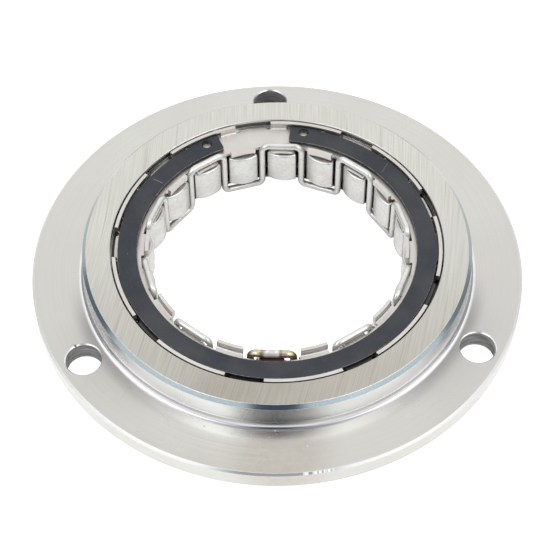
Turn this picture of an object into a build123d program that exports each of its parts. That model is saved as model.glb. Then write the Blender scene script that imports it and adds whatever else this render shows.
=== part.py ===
"""Starter clutch: a one-way sprag clutch with a flanged outer race.

Twenty sprags stand in a sheet-steel cage inside the race. One zig-zag spring tilts them all against
the race and the hub, and a lobed snap ring keeps the cage in the race.

Millimetres, +Z along the axis towards the boss, origin on the axis at the rear register's face.
The first screw hole lies on +Y.
"""
from math import asin, atan2, cos, degrees, radians, sin
import os

from build123d import *

# The hub that the sprags grip, and the room between the hub and the race
hub_d = 57.76
sprag_space = 8.33

# Outer race: rear register, flange and boss, from the back to the front
register_wall = 4.79
register_h = 2.5
register_chamfer = 0.5
flange_t = 5.0
rim_chamfer = 0.5
boss_chamfer = 0.85
boss_root_r = 2.4
boss_root_arc = 50.0

# Outer race: bore, counterbore and snap-ring groove
bore_chamfer = 0.5
counterbore_step = 1.09
counterbore_chamfer = 0.15
groove_depth = 1.3
groove_wall = 5.2

# Three screw holes through the flange
screw_count = 3
screw_first_angle = 90.0
screw_hole_d = 8.1
screw_mouth_d = 8.6
screw_boss_gap = 1.9
screw_rim_gap = 1.7

# Sprags
sprag_count = 20
sprag_first_angle = 85.9
sprag_length = 9.0
sprag_end_chamfer = 0.45
sprag_waist = 0.45
sprag_corner_r = 0.5
outer_cam_share = 0.552
inner_cam_share = 0.792
cam_offset = 0.6
hub_overlap = 0.02

# Sheet-steel cage: flange, lips, tabs and tongues, then the windowed wall and its rim
sheet_t = 0.8
bend_r = 0.5
lip_count = 9
lip_first_angle = 77.04
lip_arc = 26.7
lip_top_drop = 0.2
lip_bridge_h = 0.43
lip_window_arc = 15.0
lip_notch_depth = 0.5
relief_d = 1.3
flange_setback = 1.75
tab_width = 6.0
tab_top_drop = 0.15
tongue_width = 5.5
wall_offset = 0.355
rim_rise = 1.85

# Snap ring
ring_t = 1.0
ring_width = 4.5
ring_gap_arc = 28.0
ring_end_r = 0.9
lobe_tip_arc = 8.0
lobe_root_arc = 12.5
plier_hole_d = 2.2
plier_edge = 1.3
plier_setback_arc = 5.5

# Energizing spring
wire_d = 1.5
wire_corner_r = 1.6
spring_foot = 0.1

# Clearances
race_sprag_gap = 0.2
sprag_end_gap = 0.3
sprag_wire_gap = 0.41
window_play = 0.55
hub_tab_gap = 0.67
hub_tongue_gap = 0.77
hub_wire_gap = 0.8
cage_seat_gap = 0.05
cage_lip_gap = 0.35
ring_seat_gap = 0.02
ring_lip_gap = 0.45
groove_play = 0.13
lobe_groove_gap = 0.4
window_top_gap = 0.2
wire_seat_gap = 0.3
weld_overlap = 0.1

# Diameters and radii, from the hub outwards
race_bore_d = hub_d + 2 * sprag_space
counterbore_d = race_bore_d + 2 * counterbore_step
groove_d = counterbore_d + 2 * groove_depth
boss_d = groove_d + 2 * groove_wall
screw_circle_d = boss_d + screw_mouth_d + 2 * screw_boss_gap
flange_d = screw_circle_d + screw_mouth_d + 2 * screw_rim_gap
register_d = race_bore_d + 2 * register_wall
root_axis_r = boss_d / 2 + boss_root_r
root_foot_r = root_axis_r - boss_root_r * cos(radians(boss_root_arc))
lip_outer_r = counterbore_d / 2 - cage_lip_gap
lip_root_r = lip_outer_r - sheet_t - 2 * bend_r
notch_r = lip_outer_r - lip_notch_depth
tab_inner_r = hub_d / 2 + hub_tab_gap
tongue_inner_r = hub_d / 2 + hub_tongue_gap
flange_inner_r = tab_inner_r + flange_setback
tongue_root_r = flange_inner_r + sheet_t
wall_outer_r = (hub_d + race_bore_d) / 4 + sheet_t / 2 + wall_offset
ring_outer_r = lip_outer_r - sheet_t - ring_lip_gap
ring_inner_r = ring_outer_r - ring_width
lobe_tip_r = groove_d / 2 - lobe_groove_gap
plier_circle_r = ring_outer_r - plier_edge
wire_circle_r = hub_d / 2 + hub_wire_gap + wire_d / 2

# Heights, from the back upwards
rim_top_z = rim_rise + sheet_t
sprag_z = rim_top_z + sprag_end_gap
cage_flange_z = sprag_z + sprag_length + sprag_end_gap
cage_flange_top_z = cage_flange_z + sheet_t
counterbore_z = cage_flange_z - cage_seat_gap
ring_z = cage_flange_top_z + ring_seat_gap
ring_top_z = ring_z + ring_t
lip_top_z = ring_top_z + window_top_gap + lip_bridge_h
boss_top_z = lip_top_z + lip_top_drop
tab_top_z = boss_top_z - tab_top_drop
flange_top_z = register_h + flange_t
root_axis_z = flange_top_z + boss_root_r * sin(radians(boss_root_arc))
wire_top_z = cage_flange_top_z + wire_seat_gap + wire_d / 2
wire_bottom_z = spring_foot + wire_d / 2

# Sprag section and the pitches
sprag_pitch = 360 / sprag_count
loop_count = sprag_count // 2
lip_pitch = 360 / lip_count
gap_centre_angle = lip_first_angle + lip_pitch / 2
gap_start_angle = gap_centre_angle - ring_gap_arc / 2
sprag_width = 2 * wire_circle_r * sin(radians(sprag_pitch / 2)) - wire_d - 2 * sprag_wire_gap
outer_cam_r = outer_cam_share * sprag_space
inner_cam_r = inner_cam_share * sprag_space
outer_cam_axis_r = race_bore_d / 2 - race_sprag_gap - outer_cam_r
inner_cam_axis_r = hub_d / 2 - hub_overlap + inner_cam_r

os.makedirs("parts", exist_ok=True)


def polar(radius, angle, z=0.0):
    """The point at a radius, an angle in degrees and a height."""
    return Vector(radius * cos(radians(angle)), radius * sin(radians(angle)), z)


def radial_plane(angle):
    """The plane through the axis at an angle: X runs outwards and Y runs up."""
    return Plane(origin=(0, 0, 0), x_dir=polar(1, angle), z_dir=polar(1, angle - 90))


def sector(radius, start_angle, arc):
    """A pie-shaped face from the axis out to a radius."""
    with BuildSketch(mode=Mode.PRIVATE) as pie:
        with BuildLine():
            edge = CenterArc((0, 0), radius, start_angle, arc)
            Line((0, 0), edge @ 0)
            Line(edge @ 1, (0, 0))
        make_face()
    return pie.sketch


# Outer race
with BuildPart() as outer_race:
    with BuildSketch():
        Circle(register_d / 2)
    extrude(amount=register_h)
    chamfer(outer_race.faces().sort_by(Axis.Z)[0].edges(), register_chamfer)
    with BuildSketch(Plane.XY.offset(register_h)):
        Circle(flange_d / 2)
    extrude(amount=flange_t)
    circles = outer_race.edges().filter_by(GeomType.CIRCLE)
    chamfer(circles.group_by(SortBy.RADIUS)[-1], rim_chamfer)
    with BuildSketch(Plane.XY.offset(flange_top_z)):
        Circle(boss_d / 2)
    extrude(amount=boss_top_z - flange_top_z)
    chamfer(outer_race.faces().sort_by(Axis.Z)[-1].edges(), boss_chamfer)

    # Turned root of the boss: its arc leaves the wall smoothly and ends sharp on the ground flange
    with BuildSketch(radial_plane(0)) as boss_root:
        with BuildLine():
            root_arc = CenterArc((root_axis_r, root_axis_z), boss_root_r, 180, boss_root_arc)
            Polyline(
                root_arc @ 1,
                (root_foot_r, register_h + flange_t / 2),
                (boss_d / 2 - groove_wall / 2, register_h + flange_t / 2),
                (boss_d / 2 - groove_wall / 2, root_axis_z),
                root_arc @ 0)
        make_face()
    revolve(axis=Axis.Z)

    with BuildSketch():
        Circle(race_bore_d / 2)
    extrude(amount=boss_top_z, mode=Mode.SUBTRACT)
    back_edges = outer_race.faces().sort_by(Axis.Z)[0].edges()
    chamfer(back_edges.sort_by(SortBy.RADIUS)[0], bore_chamfer)
    with BuildSketch(Plane.XY.offset(counterbore_z)):
        Circle(counterbore_d / 2)
    extrude(amount=boss_top_z - counterbore_z, mode=Mode.SUBTRACT)
    front_edges = outer_race.faces().sort_by(Axis.Z)[-1].edges()
    chamfer(front_edges.sort_by(SortBy.RADIUS)[0], counterbore_chamfer)
    with BuildSketch(Plane.XY.offset(ring_z - groove_play)):
        Circle(groove_d / 2)
    extrude(amount=ring_t + 2 * groove_play, mode=Mode.SUBTRACT)

    mouth_depth = (screw_mouth_d - screw_hole_d) / 2
    with PolarLocations(screw_circle_d / 2, screw_count, screw_first_angle):
        with Locations((0, 0, register_h + flange_t / 2)):
            Cylinder(screw_hole_d / 2, flange_t, mode=Mode.SUBTRACT)
        with Locations((0, 0, flange_top_z - mouth_depth / 2)):
            Cone(screw_hole_d / 2, screw_mouth_d / 2, mouth_depth, mode=Mode.SUBTRACT)
        with Locations((0, 0, register_h + mouth_depth / 2)):
            Cone(screw_mouth_d / 2, screw_hole_d / 2, mouth_depth, mode=Mode.SUBTRACT)
outer_race.part.label = "outer_race"
export_step(outer_race.part, "parts/outer_race.step")

# Sheet-steel cage
window_width = sprag_width + 2 * window_play
window_h = cage_flange_z - rim_top_z
tab_arc = degrees(2 * asin(tab_width / 2 / tab_inner_r))
relief_angle = lip_arc / 2 + degrees(asin(relief_d / 2 / notch_r))

with BuildPart() as sprag_cage:
    with BuildSketch(Plane.XY.offset(cage_flange_z)):
        Circle(notch_r)
        Circle(flange_inner_r, mode=Mode.SUBTRACT)
        with PolarLocations(tongue_root_r, loop_count, sprag_first_angle):
            Rectangle(tongue_root_r, tongue_width, align=(Align.MAX, Align.CENTER))
        Circle(tongue_inner_r, mode=Mode.SUBTRACT)
        for side in (-1, 1):
            with PolarLocations(notch_r, lip_count, lip_first_angle + side * relief_angle):
                Circle(relief_d / 2, mode=Mode.SUBTRACT)
    extrude(amount=sheet_t)

    # Upturned outer lips, each with a window for a lobe of the snap ring
    for index in range(lip_count):
        lip_angle = lip_first_angle + index * lip_pitch
        with BuildSketch(radial_plane(lip_angle - lip_arc / 2)) as lip_section:
            with BuildLine():
                FilletPolyline(
                    (lip_root_r, cage_flange_top_z),
                    (lip_outer_r - sheet_t, cage_flange_top_z),
                    (lip_outer_r - sheet_t, lip_top_z),
                    radius=bend_r)
                Line((lip_outer_r - sheet_t, lip_top_z), (lip_outer_r, lip_top_z))
                FilletPolyline(
                    (lip_outer_r, lip_top_z),
                    (lip_outer_r, cage_flange_z),
                    (lip_root_r, cage_flange_z),
                    radius=bend_r + sheet_t)
                Line((lip_root_r, cage_flange_z), (lip_root_r, cage_flange_top_z))
            make_face()
        revolve(axis=Axis.Z, revolution_arc=lip_arc)
        with BuildSketch(Plane.XY.offset(cage_flange_top_z)):
            add(sector(lip_outer_r + sheet_t, lip_angle - lip_window_arc / 2, lip_window_arc))
            Circle(lip_root_r, mode=Mode.SUBTRACT)
        extrude(amount=ring_top_z + window_top_gap - cage_flange_top_z, mode=Mode.SUBTRACT)

    # Upturned inner tabs, over every second sprag
    for index in range(loop_count):
        tab_angle = sprag_first_angle + (2 * index + 1) * sprag_pitch
        with BuildSketch(radial_plane(tab_angle - tab_arc / 2)) as tab_section:
            with BuildLine():
                FilletPolyline(
                    (tongue_root_r, cage_flange_z),
                    (tab_inner_r, cage_flange_z),
                    (tab_inner_r, tab_top_z),
                    radius=bend_r + sheet_t)
                Line((tab_inner_r, tab_top_z), (tab_inner_r + sheet_t, tab_top_z))
                FilletPolyline(
                    (tab_inner_r + sheet_t, tab_top_z),
                    (tab_inner_r + sheet_t, cage_flange_top_z),
                    (tongue_root_r, cage_flange_top_z),
                    radius=bend_r)
                Line((tongue_root_r, cage_flange_top_z), (tongue_root_r, cage_flange_z))
            make_face()
        revolve(axis=Axis.Z, revolution_arc=tab_arc)

    # Wall with a window for every sprag, and the rim under the sprags
    with BuildSketch(Plane.XY.offset(rim_rise)):
        Circle(wall_outer_r)
        Circle(wall_outer_r - sheet_t, mode=Mode.SUBTRACT)
    extrude(amount=cage_flange_z + weld_overlap - rim_rise)
    with BuildSketch(Plane.XY.offset(rim_rise)):
        Circle(wall_outer_r)
        Circle(flange_inner_r, mode=Mode.SUBTRACT)
    extrude(amount=sheet_t)
    rim_edges = sprag_cage.faces().sort_by(Axis.Z)[0].edges()
    fillet(rim_edges.sort_by(SortBy.RADIUS)[-1], bend_r)
    with PolarLocations(wall_outer_r - sheet_t / 2, sprag_count, sprag_first_angle):
        with Locations((0, 0, rim_top_z + window_h / 2)):
            Box(3 * sheet_t, window_width, window_h, mode=Mode.SUBTRACT)
sprag_cage.part.label = "sprag_cage"
export_step(sprag_cage.part, "parts/sprag_cage.step")

# Snap ring
with BuildPart() as snap_ring:
    with BuildSketch(Plane.XY.offset(ring_z)) as ring_plan:
        for index in range(lip_count):
            lobe_angle = lip_first_angle + index * lip_pitch
            with BuildLine():
                Polyline(
                    polar(ring_inner_r, lobe_angle - lobe_root_arc / 2),
                    polar(ring_outer_r, lobe_angle - lobe_root_arc / 2),
                    polar(lobe_tip_r + ring_t, lobe_angle - lobe_tip_arc / 2),
                    polar(lobe_tip_r + ring_t, lobe_angle + lobe_tip_arc / 2),
                    polar(ring_outer_r, lobe_angle + lobe_root_arc / 2),
                    polar(ring_inner_r, lobe_angle + lobe_root_arc / 2),
                    close=True)
            make_face()
        Circle(lobe_tip_r, mode=Mode.INTERSECT)
        Circle(ring_outer_r)
        Circle(ring_inner_r, mode=Mode.SUBTRACT)
        add(sector(groove_d, gap_start_angle, ring_gap_arc), mode=Mode.SUBTRACT)
        end_corners = ring_plan.vertices().filter_by(
            lambda corner: abs(abs(degrees(atan2(corner.Y, corner.X)) - gap_centre_angle)
                               - ring_gap_arc / 2) < 0.01)
        fillet(end_corners, ring_end_r)
        for side in (-1, 1):
            hole_angle = gap_centre_angle + side * (ring_gap_arc / 2 + plier_setback_arc)
            with Locations(polar(plier_circle_r, hole_angle)):
                Circle(plier_hole_d / 2, mode=Mode.SUBTRACT)
    extrude(amount=ring_t)
snap_ring.part.label = "snap_ring"
export_step(snap_ring.part, "parts/snap_ring.step")


# Energizing spring: one period of the zig-zag runs over one sprag and under the next
def run_point(angle, z, shift=0.0):
    """A point on an upright run of the wire, or shifted sideways from it along the pitch circle."""
    return polar(wire_circle_r, angle, z) + polar(shift, angle + 90)


with BuildPart() as spring_period:
    mid_z = (wire_top_z + wire_bottom_z) / 2
    top_bend_z = wire_top_z - wire_corner_r
    bottom_bend_z = wire_bottom_z + wire_corner_r
    first, second, third = (sprag_pitch * share for share in (-0.5, 0.5, 1.5))
    with BuildLine() as wire_path:
        Line(run_point(first, mid_z), run_point(first, top_bend_z))
        TangentArc(
            run_point(first, top_bend_z), run_point(first, wire_top_z, wire_corner_r),
            tangent=(0, 0, 1))
        TangentArc(
            run_point(first, wire_top_z, wire_corner_r), run_point(second, wire_top_z, -wire_corner_r),
            tangent=polar(1, first + 90))
        TangentArc(
            run_point(second, wire_top_z, -wire_corner_r), run_point(second, top_bend_z),
            tangent=polar(1, second + 90))
        Line(run_point(second, top_bend_z), run_point(second, bottom_bend_z))
        TangentArc(
            run_point(second, bottom_bend_z), run_point(second, wire_bottom_z, wire_corner_r),
            tangent=(0, 0, -1))
        TangentArc(
            run_point(second, wire_bottom_z, wire_corner_r),
            run_point(third, wire_bottom_z, -wire_corner_r),
            tangent=polar(1, second + 90))
        TangentArc(
            run_point(third, wire_bottom_z, -wire_corner_r), run_point(third, bottom_bend_z),
            tangent=polar(1, third + 90))
        Line(run_point(third, bottom_bend_z), run_point(third, mid_z))
    with BuildSketch(Plane(origin=wire_path.line @ 0, z_dir=(0, 0, 1))):
        Circle(wire_d / 2)
    sweep(path=wire_path.line)

with BuildPart() as energizing_spring:
    with PolarLocations(0, loop_count, sprag_first_angle):
        add(spring_period.part)
energizing_spring.part.label = "energizing_spring"
export_step(energizing_spring.part, "parts/energizing_spring.step")

# Sprags: an outer and an inner cam arc, set off from each other, with waisted sides
half_width = sprag_width / 2
outer_cam_half_angle = degrees(asin(half_width / outer_cam_r))
inner_cam_long_angle = degrees(asin((half_width + cam_offset) / inner_cam_r))
inner_cam_short_angle = degrees(asin((half_width - cam_offset) / inner_cam_r))

with BuildPart() as sprag_blank:
    with BuildSketch(Plane.XY.offset(sprag_z)) as sprag_section:
        with BuildLine():
            outer_cam = CenterArc(
                (outer_cam_axis_r, 0), outer_cam_r, -outer_cam_half_angle, 2 * outer_cam_half_angle)
            inner_cam = CenterArc(
                (inner_cam_axis_r, -cam_offset), inner_cam_r,
                180 - inner_cam_long_angle, inner_cam_long_angle + inner_cam_short_angle)
            waist_r = (outer_cam_axis_r + inner_cam_axis_r - inner_cam_r / 2) / 2
            ThreePointArc(outer_cam @ 1, (waist_r, half_width - sprag_waist), inner_cam @ 0)
            ThreePointArc(inner_cam @ 1, (waist_r, sprag_waist - half_width), outer_cam @ 0)
        make_face()
        fillet(sprag_section.vertices(), sprag_corner_r)
    extrude(amount=sprag_length)
    sprag_ends = sprag_blank.faces().sort_by(Axis.Z)
    chamfer(sprag_ends[0].edges() + sprag_ends[-1].edges(), sprag_end_chamfer)

for index in range(sprag_count):
    with BuildPart() as sprag:
        with Locations(Location((0, 0, 0), (0, 0, sprag_first_angle + index * sprag_pitch))):
            add(sprag_blank.part)
    sprag.part.label = f"sprag_{index + 1:02d}"
    export_step(sprag.part, f"parts/sprag_{index + 1:02d}.step")
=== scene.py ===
"""Starter clutch, dressed for the camera: a one-way sprag clutch seen from the front and above.

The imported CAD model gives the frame. Every piece below rides on one of its bodies, and replaces the
plain solid of the same name. Sizes are in millimetres, and MM turns them into Blender's metres.
"""

from math import cos, pi, radians, sin, tan
from types import SimpleNamespace

import bmesh
import bpy
from mathutils import Matrix, Vector


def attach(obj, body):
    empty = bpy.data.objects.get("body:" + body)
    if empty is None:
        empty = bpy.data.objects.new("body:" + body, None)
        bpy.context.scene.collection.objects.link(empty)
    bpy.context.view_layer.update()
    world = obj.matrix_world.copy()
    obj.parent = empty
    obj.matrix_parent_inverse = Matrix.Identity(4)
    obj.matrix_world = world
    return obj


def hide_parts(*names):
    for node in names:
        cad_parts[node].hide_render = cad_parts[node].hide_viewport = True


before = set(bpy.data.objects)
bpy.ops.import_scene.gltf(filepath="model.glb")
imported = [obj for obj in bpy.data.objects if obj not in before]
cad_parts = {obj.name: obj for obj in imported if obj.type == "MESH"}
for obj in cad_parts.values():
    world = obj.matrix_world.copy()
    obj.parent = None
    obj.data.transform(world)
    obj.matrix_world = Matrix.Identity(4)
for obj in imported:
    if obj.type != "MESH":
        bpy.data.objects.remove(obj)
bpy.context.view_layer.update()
scene = bpy.context.scene
MM = 0.001

# Points of a CAD mesh this near to each other are one, and a face this near to a level lies on it
SAME_POINT = 0.002
SAME_LEVEL = 0.001

# Sizes of the turned race, as the CAD model has them
BORE_R = 37.21
COUNTERBORE_R = 38.3
GROOVE_R = 39.6
REGISTER_R = 42.0
BOSS_R = 44.8
FLANGE_R = 57.0
SCREW_CIRCLE_R = 51.0
SCREW_ANGLES = (90, 210, 330)
SCREW_HOLE_R = 4.05
SCREW_MOUTH_R = 4.3
FLANGE_BACK_Z = 2.5
FLANGE_TOP_Z = 7.5
COUNTERBORE_Z = 12.2
GROOVE_FLOOR_Z = 12.94
GROOVE_ROOF_Z = 14.2
BOSS_TOP_Z = 14.9
BOSS_CHAMFER = 0.85
BOSS_ROOT_R = 2.4
BOSS_ROOT_ARC = 50.0
ROOT_TOP_Z = FLANGE_TOP_Z + BOSS_ROOT_R * sin(radians(BOSS_ROOT_ARC))
MOUTH_CHAMFER = 0.15
RIM_CHAMFER = 0.5

# How the race is softened: its turned edges, its sharpest ones, its register's corner, and the
# last degrees of the boss's root, which run out into the flange
EDGE_BREAK = 0.07
SHARP_BREAK = 0.04
REGISTER_FILLET = 0.2
ROOT_RUN_OUT = 12.0
RACE_STEPS = 384
HOLE_STEPS = 96
ARC_STEPS = 9
RUN_OUT_STEPS = 5

# Rounded edges of the flat pieces, and the narrow band that keeps their faces flat beside them
SNAP_RING_EDGE = 0.07
SPRAG_EDGE = 0.45
EDGE_SUPPORT = 0.04

# Sizes of the zig-zag wire and of the weld that closes it
WIRE_R = 0.75
WIRE_CIRCLE_R = 30.43
WIRE_TOP_Z = 14.1
WIRE_BOTTOM_Z = 0.85
WIRE_CORNER_R = 1.6
SPRAG_COUNT = 20
SPRAG_PITCH = 18.0
SPRAG_FIRST_ANGLE = 85.9
CORNER_STEPS = 8
TOP_LOOP_STEPS = 12
WELD_ANGLE = 265.9
WELD_WAY = Vector((cos(radians(WELD_ANGLE)), sin(radians(WELD_ANGLE)), 0.0))
WELD_POINT = WELD_WAY * WIRE_CIRCLE_R + Vector((0.0, 0.0, WIRE_TOP_Z))
# The welded loop is pushed inwards and down, in full near the weld and not at all past its end
WELD_PUSH = WELD_WAY * -0.22 + Vector((0.0, 0.0, -0.11))
WELD_FULL, WELD_END = 3.8, 7.2
WELD_THICKER = 1.19

# The camera fitted to the photograph, looking at the axis at the flange's upper face
CAMERA_AWAY = 392.9
CAMERA_SHIFT = (-0.493, -2.806)
CAMERA_TURN = -91.55
CAMERA_HEIGHT = 52.887
CAMERA_ROLL = 0.483
CAMERA_LENS = 110.335


# Camera
def set_camera():
    """Sets the camera on its fitted angles, shifted sideways and down by its two small offsets."""
    turn, tilt, roll = radians(CAMERA_TURN), radians(CAMERA_HEIGHT), radians(CAMERA_ROLL)
    back = Vector((cos(turn) * cos(tilt), sin(turn) * cos(tilt), sin(tilt)))
    right = Vector((-sin(turn), cos(turn), 0.0))
    up = back.cross(right)
    right, up = right * cos(roll) - up * sin(roll), right * sin(roll) + up * cos(roll)
    place = Vector((0, 0, FLANGE_TOP_Z)) + back * CAMERA_AWAY
    place += right * CAMERA_SHIFT[0] + up * CAMERA_SHIFT[1]
    data = bpy.data.cameras.new("camera")
    data.lens, data.sensor_width = CAMERA_LENS, 36.0
    data.clip_start, data.clip_end = 0.01, 20.0
    camera = bpy.data.objects.new("camera", data)
    turned = Matrix((right, up, back)).transposed().to_4x4()
    camera.matrix_world = Matrix.Translation(place * MM) @ turned
    scene.collection.objects.link(camera)
    scene.camera = camera


set_camera()


# Mesh helpers
def mesh_object(name, bm, smooth_angle=30.0):
    """Makes an object from a bmesh, smooth except over edges sharper than the angle."""
    mesh = bpy.data.meshes.new(name)
    bm.to_mesh(mesh)
    bm.free()
    for face in mesh.polygons:
        face.use_smooth = True
    mesh.set_sharp_from_angle(angle=radians(smooth_angle))
    made = bpy.data.objects.new(name, mesh)
    scene.collection.objects.link(made)
    return made


def arc_points(centre, radius, start, end, steps):
    """Points of an arc in the section plane, from one angle in degrees to another."""
    spread = [start + (end - start) * step / steps for step in range(steps + 1)]
    return [(centre[0] + radius * cos(radians(a)), centre[1] + radius * sin(radians(a))) for a in spread]


def bent(start, corner, end, share):
    """A point on the soft curve from start to end that leaves and arrives towards the corner."""
    return start * (1 - share) ** 2 + corner * 2 * share * (1 - share) + end * share ** 2


def broken_corners(corners, steps=3, support=0.05):
    """Rounds each corner of a closed section by its own radius, with a support point on either side.

    Each point is r, z and how much it lies on a rounded edge, from 0 to 1.
    """
    points = []
    count = len(corners)
    for index, (r, z, edge) in enumerate(corners):
        here = Vector((r, z))
        before = Vector(corners[index - 1][:2])
        after = Vector(corners[(index + 1) % count][:2])
        inwards, outwards = (before - here).normalized(), (after - here).normalized()
        if edge <= 0:
            points.append((*here, 0.0))
            continue
        # A sharp corner would need a long run, so it stops at five times its radius
        angle = inwards.angle(outwards)
        run = edge / max(0.2, abs(tan(angle / 2)))
        if run + support < (before - here).length / 2:
            points.append((*(here + inwards * (run + support)), 0.0))
        first, last = here + inwards * run, here + outwards * run
        for step in range(steps + 1):
            points.append((*bent(first, here, last, step / steps), 1.0))
        if run + support < (after - here).length / 2:
            points.append((*(here + outwards * (run + support)), 0.0))
    return points


def turned_rings(bm, section, segments, centre=(0.0, 0.0)):
    """Rings of vertices round an upright axis, one for each point of a section in millimetres."""
    worn = bm.verts.layers.float.get("edge") or bm.verts.layers.float.new("edge")
    rings = []
    for r, z, edge in section:
        ring = []
        for step in range(segments):
            a = 2 * pi * step / segments
            vert = bm.verts.new(((centre[0] + r * cos(a)) * MM, (centre[1] + r * sin(a)) * MM, z * MM))
            vert[worn] = edge
            ring.append(vert)
        rings.append(ring)
    return rings


def join_rings(bm, first, second):
    """Quads between two rings of the same count."""
    for step in range(len(first)):
        following = (step + 1) % len(first)
        bm.faces.new((first[step], first[following], second[following], second[step]))


def ring_edges(bm, ring):
    """The closed run of edges through a ring's vertices."""
    edges = []
    for step, vert in enumerate(ring):
        other = ring[(step + 1) % len(ring)]
        edges.append(bm.edges.get((vert, other)) or bm.edges.new((vert, other)))
    return edges


def fill_plate(bm, rings):
    """Flat faces between an outer ring and the rings of the holes in it."""
    edges = [edge for ring in rings for edge in ring_edges(bm, ring)]
    bmesh.ops.triangle_fill(bm, edges=edges, use_beauty=True)


def merged_copy(node):
    """A bmesh of a CAD node, with its loose triangles joined."""
    bm = bmesh.new()
    bm.from_mesh(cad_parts[node].data)
    bmesh.ops.remove_doubles(bm, verts=bm.verts, dist=SAME_POINT * MM)
    return bm


# Outer race
def boss_root():
    """The rounded root of the boss: an arc that runs out into the flange by a softer curve."""
    centre = (BOSS_R + BOSS_ROOT_R, ROOT_TOP_Z)
    slope = BOSS_ROOT_ARC - ROOT_RUN_OUT
    root = arc_points(centre, BOSS_ROOT_R, 180, 180 + slope, ARC_STEPS)
    start, lean = Vector(root[-1]), radians(slope)
    length = (start.y - FLANGE_TOP_Z) / cos(lean)
    meet = Vector((start.x + length * sin(lean), FLANGE_TOP_Z))
    end = meet + Vector((length, 0))
    root += [tuple(bent(start, meet, end, step / RUN_OUT_STEPS)) for step in range(1, RUN_OUT_STEPS + 1)]
    return [(r, z, 0) for r, z in root]


def race_section():
    """The race's section, from its bore up, over the boss and the flange, and back."""
    edge, sharp = EDGE_BREAK, SHARP_BREAK
    boss = [
        (COUNTERBORE_R, COUNTERBORE_Z, edge),
        (COUNTERBORE_R, GROOVE_FLOOR_Z, edge),
        (GROOVE_R, GROOVE_FLOOR_Z, edge),
        (GROOVE_R, GROOVE_ROOF_Z, edge),
        (COUNTERBORE_R, GROOVE_ROOF_Z, edge),
        (COUNTERBORE_R, BOSS_TOP_Z - MOUTH_CHAMFER, sharp),
        (COUNTERBORE_R + MOUTH_CHAMFER, BOSS_TOP_Z, sharp),
        (BOSS_R - BOSS_CHAMFER, BOSS_TOP_Z, edge),
        (BOSS_R, BOSS_TOP_Z - BOSS_CHAMFER, edge)]
    rim = [
        (FLANGE_R - RIM_CHAMFER, FLANGE_TOP_Z, edge),
        (FLANGE_R, FLANGE_TOP_Z - RIM_CHAMFER, edge),
        (FLANGE_R, FLANGE_BACK_Z + RIM_CHAMFER, edge),
        (FLANGE_R - RIM_CHAMFER, FLANGE_BACK_Z, edge)]
    back = [
        (REGISTER_R, FLANGE_BACK_Z, REGISTER_FILLET),
        (REGISTER_R, RIM_CHAMFER, edge),
        (REGISTER_R - RIM_CHAMFER, 0.0, edge),
        (BORE_R + RIM_CHAMFER, 0.0, edge),
        (BORE_R, RIM_CHAMFER, edge),
        (BORE_R, COUNTERBORE_Z, sharp)]
    return broken_corners(boss + boss_root() + rim + back)[::-1]


def hole_section():
    """The section of a screw hole's wall, with its fine chamfers."""
    chamfer = SCREW_MOUTH_R - SCREW_HOLE_R
    lip = SCREW_MOUTH_R + 0.05
    return broken_corners([
        (lip, FLANGE_TOP_Z, 0),
        (SCREW_MOUTH_R, FLANGE_TOP_Z, 0.03),
        (SCREW_HOLE_R, FLANGE_TOP_Z - chamfer, 0.05),
        (SCREW_HOLE_R, FLANGE_BACK_Z + chamfer, 0.05),
        (SCREW_MOUTH_R, FLANGE_BACK_Z, 0.03),
        (lip, FLANGE_BACK_Z, 0)], support=0.02)


def make_outer_race():
    """The turned race, with softened edges and three screw holes through its flange."""
    section = race_section()
    bm = bmesh.new()
    rings = turned_rings(bm, section, RACE_STEPS)
    # The flange's two wide faces are filled at the end, round the screw holes
    plates = {FLANGE_TOP_Z: [], FLANGE_BACK_Z: []}
    wide = (FLANGE_R - BOSS_R) / 2
    for index, ring in enumerate(rings):
        following = rings[(index + 1) % len(rings)]
        r0, z0, _ = section[index]
        r1, z1, _ = section[(index + 1) % len(section)]
        if abs(z0 - z1) < SAME_LEVEL and abs(r0 - r1) > wide:
            plates[min(plates, key=lambda level: abs(level - z0))] += [ring, following]
        else:
            join_rings(bm, ring, following)
    wall = hole_section()
    for angle in SCREW_ANGLES:
        centre = (SCREW_CIRCLE_R * cos(radians(angle)), SCREW_CIRCLE_R * sin(radians(angle)))
        hole = turned_rings(bm, wall, HOLE_STEPS, centre)
        for first, second in zip(hole, hole[1:]):
            join_rings(bm, first, second)
        plates[FLANGE_TOP_Z].append(hole[0])
        plates[FLANGE_BACK_Z].append(hole[-1])
    for level in plates:
        fill_plate(bm, plates[level])
    bmesh.ops.recalc_face_normals(bm, faces=bm.faces)
    return mesh_object("turned_race", bm)


# Flat pieces: snap ring and sprags
def outline_loops(node):
    """The closed outlines of a CAD plate's upper face, in order, as lists of flat points."""
    bm = merged_copy(node)
    top = max(vert.co.z for vert in bm.verts)
    bottom = min(vert.co.z for vert in bm.verts)
    flat = [face for face in bm.faces
            if all(abs(vert.co.z - top) < SAME_LEVEL * MM for vert in face.verts)]
    upper = set(flat)
    border = {}
    for face in flat:
        for loop in face.loops:
            if any(other not in upper for other in loop.edge.link_faces):
                border[loop.vert] = loop.link_loop_next.vert
    loops = []
    while border:
        run, here = [], next(iter(border))
        while here in border:
            run.append(Vector((here.co.x, here.co.y)))
            here = border.pop(here)
        loops.append(run)
    bm.free()
    return loops, bottom, top


def inset_loop(loop, distance):
    """The loop moved to its left, which is into the plate."""
    moved = []
    for index, point in enumerate(loop):
        before, after = loop[index - 1], loop[(index + 1) % len(loop)]
        first, second = (point - before).normalized(), (after - point).normalized()
        normal = Vector((-first.y - second.y, first.x + second.x))
        # At a sharp corner the point moves by no more than about three times the distance
        scale = distance / max(0.35, normal.length / 2)
        moved.append(point + normal.normalized() * scale)
    return moved


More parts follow.
